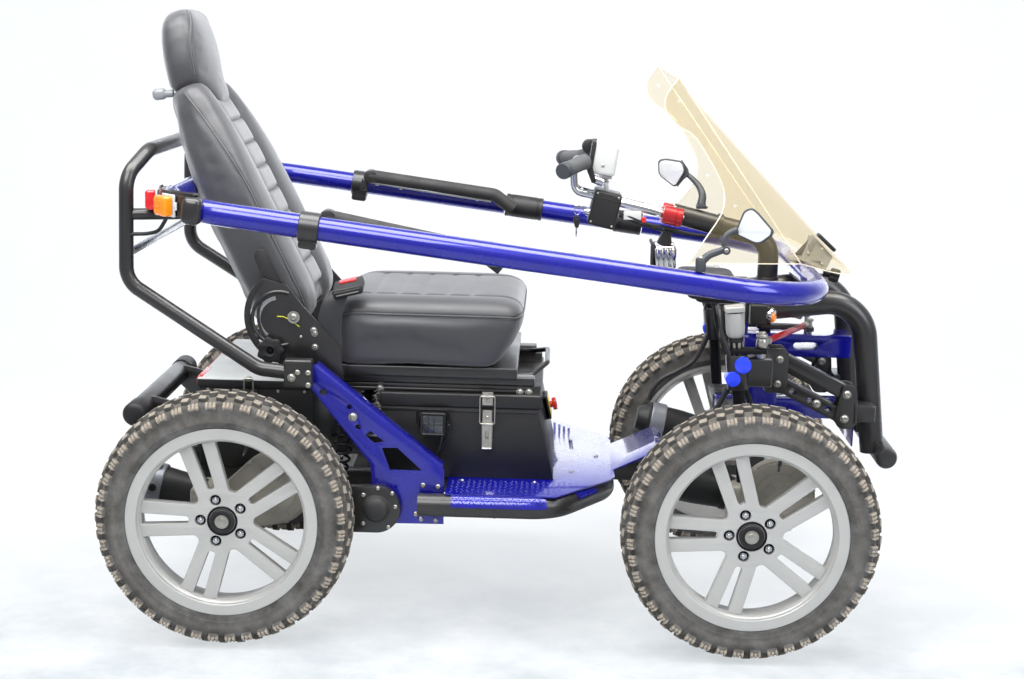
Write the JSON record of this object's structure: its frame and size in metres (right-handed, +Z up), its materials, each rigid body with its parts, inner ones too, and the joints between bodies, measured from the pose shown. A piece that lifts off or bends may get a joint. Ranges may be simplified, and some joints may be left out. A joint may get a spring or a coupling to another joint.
{
  "type": "all-terrain mobility scooter",
  "caption": "Open four-wheel mobility scooter with knobbly tyres, link and trailing-arm suspension, loop rail, padded seat, steering tiller and small windscreen.",
  "frame": {"origin": "on the ground, under the middle of the bounding box", "axes": "+X towards the front, +Y towards the rider's left, +Z up"},
  "size_m": [1.7786, 1.0112, 1.3667],
  "materials": {
    "blue_frame": "glossy candy blue enamel",
    "black_coat": "satin black powder coat",
    "alloy": "silver paint on cast alloy",
    "tyre": "moulded, dusty",
    "gear_case": "dull grey cast case",
    "chrome": "polished",
    "red_coat": "glossy red",
    "seat_cover": "matt sewn leatherette over foam",
    "tray_plastic": "moulded, fine grain",
    "screen": "amber tint, clear",
    "light_plastic": "light grey, moulded",
    "plated_steel": "zinc plated",
    "webbing": "woven webbing"
  },
  "bodies": {
    "chassis": {"chassis_frame": "black_coat", "side_plate_left": "blue_frame", "side_plate_right": "blue_frame", "footplate": "blue_frame", "battery_box": "black_coat", "battery_lid": "black_coat", "battery_pack": "tray_plastic", "rear_box": "black_coat", "rear_bumper": "black_coat", "rear_hoop": "black_coat", "loop_rail": "blue_frame", "nose_frame": "blue_frame", "front_bumper": "black_coat", "windscreen": "screen", "screen_bracket": "black_coat"},
    "steering": {"steering_column": "black_coat"},
    "tiller_head": {"tiller": "black_coat"},
    "throttle": {"throttle_lever": "tray_plastic"},
    "seat": {"seat_pan": "black_coat", "seat_cushion": "seat_cover", "lap_belt": "webbing"},
    "backrest": {"seat_back": "seat_cover"},
    "recline_knob": {"recliner_knob": "tray_plastic"},
    "gate": {"gate_rail": "blue_frame"},
    "box_lid": {"rear_box_lid": "light_plastic"},
    "stop": {"stop_button": "red_coat"},
    "wheel_front_right": {"rim_front_right": "alloy", "tyre_front_right": "tyre"},
    "wheel_rear_right": {"rim_rear_right": "alloy", "tyre_rear_right": "tyre"},
    "rear_suspension_right": {"rear_arm_right": "gear_case", "drive_rear_right": "gear_case"},
    "shock_upper_right": {"shock_body_right": "black_coat", "rear_spring_right": "red_coat"},
    "shock_lower_right": {"shock_rod_right": "chrome"},
    "lower_arm_right": {"lower_link_right": "black_coat"},
    "upper_arm_right": {"upper_link_right": "black_coat"},
    "carrier_right": {"front_carrier_right": "black_coat"},
    "knuckle_right": {"drive_front_right": "gear_case"},
    "track_rod_right": {"tie_rod_right": "red_coat"},
    "armrest_arm_right": {"armrest_right": "tray_plastic"},
    "mirror_head_right": {"mirror_right": "tray_plastic"},
    "box_latch_right": {"latch_right": "plated_steel"},
    "wheel_front_left": {"rim_front_left": "alloy", "tyre_front_left": "tyre"},
    "wheel_rear_left": {"rim_rear_left": "alloy", "tyre_rear_left": "tyre"},
    "rear_suspension_left": {"rear_arm_left": "gear_case", "drive_rear_left": "gear_case"},
    "shock_upper_left": {"shock_body_left": "black_coat", "rear_spring_left": "red_coat"},
    "shock_lower_left": {"shock_rod_left": "chrome"},
    "lower_arm_left": {"lower_link_left": "black_coat"},
    "upper_arm_left": {"upper_link_left": "black_coat"},
    "carrier_left": {"front_carrier_left": "black_coat"},
    "knuckle_left": {"drive_front_left": "gear_case"},
    "track_rod_left": {"tie_rod_left": "red_coat"},
    "armrest_arm_left": {"armrest_left": "tray_plastic"},
    "mirror_head_left": {"mirror_left": "tray_plastic"},
    "box_latch_left": {"latch_left": "plated_steel"}
  },
  "joints": [
    {"name": "column_turn", "type": "hinge", "parent": "chassis", "child": "steering", "pos_m": [0.6, 0, 0.679], "axis": [0, 0, 1], "range_deg": [-12, 12]},
    {"name": "tiller_reach", "type": "slide", "parent": "steering", "child": "tiller_head", "axis": [-0.9763, 0, 0.2164], "range_m": [-0.02, 0.01]},
    {"name": "throttle_press", "type": "hinge", "parent": "tiller_head", "child": "throttle", "pos_m": [0.169, -0.058, 1.0436], "axis": [0, 1, 0], "range_deg": [0, 20], "stiffness_Nm_per_rad": 0.25, "springref_deg": -8.59},
    {"name": "rear_arm_right_swing", "type": "hinge", "parent": "chassis", "child": "rear_suspension_right", "pos_m": [-0.2835, -0.3, 0.288], "axis": [0, 1, 0], "range_deg": [-4, 5], "stiffness_Nm_per_rad": 900, "springref_deg": -6.88},
    {"name": "wheel_rear_right_spin", "type": "hinge", "parent": "rear_suspension_right", "child": "wheel_rear_right", "pos_m": [-0.607, -0.417, 0.283], "axis": [0, 1, 0], "continuous": true},
    {"name": "shock_right_tilt", "type": "hinge", "parent": "chassis", "child": "shock_upper_right", "pos_m": [-0.352, -0.262, 0.5], "axis": [0, 1, 0], "range_deg": [-2, 2]},
    {"name": "shock_right_stroke", "type": "slide", "parent": "shock_upper_right", "child": "shock_lower_right", "axis": [-0.1756, 0, -0.9845], "range_m": [-0.012, 0.01], "deforming": ["rear_spring_right"]},
    {"name": "lower_link_right_swing", "type": "hinge", "parent": "chassis", "child": "lower_arm_right", "pos_m": [0.7625, -0.19, 0.494], "axis": [0, 1, 0], "range_deg": [-6, 7], "stiffness_Nm_per_rad": 200, "springref_deg": -14.32},
    {"name": "upper_link_right_swing", "type": "hinge", "parent": "chassis", "child": "upper_arm_right", "pos_m": [0.7655, -0.19, 0.55], "axis": [0, 1, 0], "range_deg": [-6, 7]},
    {"name": "carrier_right_level", "type": "hinge", "parent": "lower_arm_right", "child": "carrier_right", "pos_m": [0.6075, -0.19, 0.571], "axis": [0, 1, 0], "range_deg": [-7, 6]},
    {"name": "knuckle_right_steer", "type": "hinge", "parent": "carrier_right", "child": "knuckle_right", "pos_m": [0.538, -0.3, 0.283], "axis": [-0.0923, 0, 0.9957], "range_deg": [-23, 23]},
    {"name": "wheel_front_right_spin", "type": "hinge", "parent": "knuckle_right", "child": "wheel_front_right", "pos_m": [0.538, -0.417, 0.283], "axis": [0, 1, 0], "continuous": true},
    {"name": "tie_rod_right_swing", "type": "hinge", "parent": "knuckle_right", "child": "track_rod_right", "pos_m": [0.5563, -0.3, 0.679], "axis": [-0.0923, 0, 0.9957], "range_deg": [-23, 23]},
    {"name": "armrest_right_lift", "type": "hinge", "parent": "chassis", "child": "armrest_arm_right", "pos_m": [-0.386, -0.418, 0.9555], "axis": [0, -1, 0], "range_deg": [0, 95]},
    {"name": "mirror_right_swivel", "type": "hinge", "parent": "chassis", "child": "mirror_head_right", "pos_m": [0.402, -0.4705, 0.86], "axis": [0, 0, 1], "range_deg": [-40, 24]},
    {"name": "latch_right_pull", "type": "hinge", "parent": "chassis", "child": "box_latch_right", "pos_m": [-0.044, -0.2315, 0.407], "axis": [1, 0, 0], "range_deg": [0, 110]},
    {"name": "rear_arm_left_swing", "type": "hinge", "parent": "chassis", "child": "rear_suspension_left", "pos_m": [-0.2835, 0.3, 0.288], "axis": [0, 1, 0], "range_deg": [-4, 5], "stiffness_Nm_per_rad": 900, "springref_deg": -6.88},
    {"name": "wheel_rear_left_spin", "type": "hinge", "parent": "rear_suspension_left", "child": "wheel_rear_left", "pos_m": [-0.607, 0.417, 0.283], "axis": [0, 1, 0], "continuous": true},
    {"name": "shock_left_tilt", "type": "hinge", "parent": "chassis", "child": "shock_upper_left", "pos_m": [-0.352, 0.262, 0.5], "axis": [0, 1, 0], "range_deg": [-2, 2]},
    {"name": "shock_left_stroke", "type": "slide", "parent": "shock_upper_left", "child": "shock_lower_left", "axis": [-0.1756, 0, -0.9845], "range_m": [-0.012, 0.01], "deforming": ["rear_spring_left"]},
    {"name": "lower_link_left_swing", "type": "hinge", "parent": "chassis", "child": "lower_arm_left", "pos_m": [0.7625, 0.19, 0.494], "axis": [0, 1, 0], "range_deg": [-6, 7], "stiffness_Nm_per_rad": 200, "springref_deg": -14.32},
    {"name": "upper_link_left_swing", "type": "hinge", "parent": "chassis", "child": "upper_arm_left", "pos_m": [0.7655, 0.19, 0.55], "axis": [0, 1, 0], "range_deg": [-6, 7]},
    {"name": "carrier_left_level", "type": "hinge", "parent": "lower_arm_left", "child": "carrier_left", "pos_m": [0.6075, 0.19, 0.571], "axis": [0, 1, 0], "range_deg": [-7, 6]},
    {"name": "knuckle_left_steer", "type": "hinge", "parent": "carrier_left", "child": "knuckle_left", "pos_m": [0.538, 0.3, 0.283], "axis": [-0.0923, 0, 0.9957], "range_deg": [-23, 23]},
    {"name": "wheel_front_left_spin", "type": "hinge", "parent": "knuckle_left", "child": "wheel_front_left", "pos_m": [0.538, 0.417, 0.283], "axis": [0, 1, 0], "continuous": true},
    {"name": "tie_rod_left_swing", "type": "hinge", "parent": "knuckle_left", "child": "track_rod_left", "pos_m": [0.5563, 0.3, 0.679], "axis": [-0.0923, 0, 0.9957], "range_deg": [-23, 23]},
    {"name": "armrest_left_lift", "type": "hinge", "parent": "chassis", "child": "armrest_arm_left", "pos_m": [-0.386, 0.418, 0.9465], "axis": [0, -1, 0], "range_deg": [0, 95]},
    {"name": "mirror_left_swivel", "type": "hinge", "parent": "steering", "child": "mirror_head_left", "pos_m": [0.438, 0, 0.9385], "axis": [0, 0, 1], "range_deg": [-40, 40]},
    {"name": "latch_left_pull", "type": "hinge", "parent": "chassis", "child": "box_latch_left", "pos_m": [-0.044, 0.2315, 0.407], "axis": [-1, 0, 0], "range_deg": [0, 110]},
    {"name": "seat_slide", "type": "slide", "parent": "chassis", "child": "seat", "axis": [1, 0, 0], "range_m": [0, 0.1]},
    {"name": "backrest_fold", "type": "hinge", "parent": "seat", "child": "backrest", "pos_m": [-0.478, 0, 0.704], "axis": [0, 1, 0], "range_deg": [0, 32]},
    {"name": "knob_turn", "type": "hinge", "parent": "backrest", "child": "recline_knob", "pos_m": [-0.5289, -0.2674, 0.6286], "axis": [0, -1, 0], "range_deg": [-180, 180]},
    {"name": "gate_swing", "type": "hinge", "parent": "chassis", "child": "gate", "pos_m": [0.337, 0.5025, 0.8415], "axis": [0, 0, -1], "range_deg": [0, 90]},
    {"name": "stop_press", "type": "slide", "parent": "chassis", "child": "stop", "axis": [-0.9748, 0, -0.2231], "range_m": [0, 0.004], "stiffness_N_per_m": 600, "springref_m": -0.003},
    {"name": "box_lid_lift", "type": "hinge", "parent": "chassis", "child": "box_lid", "pos_m": [-0.704, 0, 0.5324], "axis": [0, -1, 0], "range_deg": [0, 25]}
  ],
  "couplings": [
    {"joint": "shock_right_tilt", "follows": "rear_arm_right_swing", "ratio": -0.0466},
    {"joint": "shock_right_stroke", "follows": "rear_arm_right_swing", "m_per_rad": -0.10466},
    {"joint": "upper_link_right_swing", "follows": "lower_link_right_swing", "ratio": 1},
    {"joint": "carrier_right_level", "follows": "lower_link_right_swing", "ratio": -1},
    {"joint": "knuckle_right_steer", "follows": "column_turn", "ratio": 1.9},
    {"joint": "tie_rod_right_swing", "follows": "column_turn", "ratio": -1.9},
    {"joint": "shock_left_tilt", "follows": "rear_arm_left_swing", "ratio": -0.0466},
    {"joint": "shock_left_stroke", "follows": "rear_arm_left_swing", "m_per_rad": -0.10466},
    {"joint": "upper_link_left_swing", "follows": "lower_link_left_swing", "ratio": 1},
    {"joint": "carrier_left_level", "follows": "lower_link_left_swing", "ratio": -1},
    {"joint": "knuckle_left_steer", "follows": "column_turn", "ratio": 1.9},
    {"joint": "tie_rod_left_swing", "follows": "column_turn", "ratio": -1.9}
  ]
}
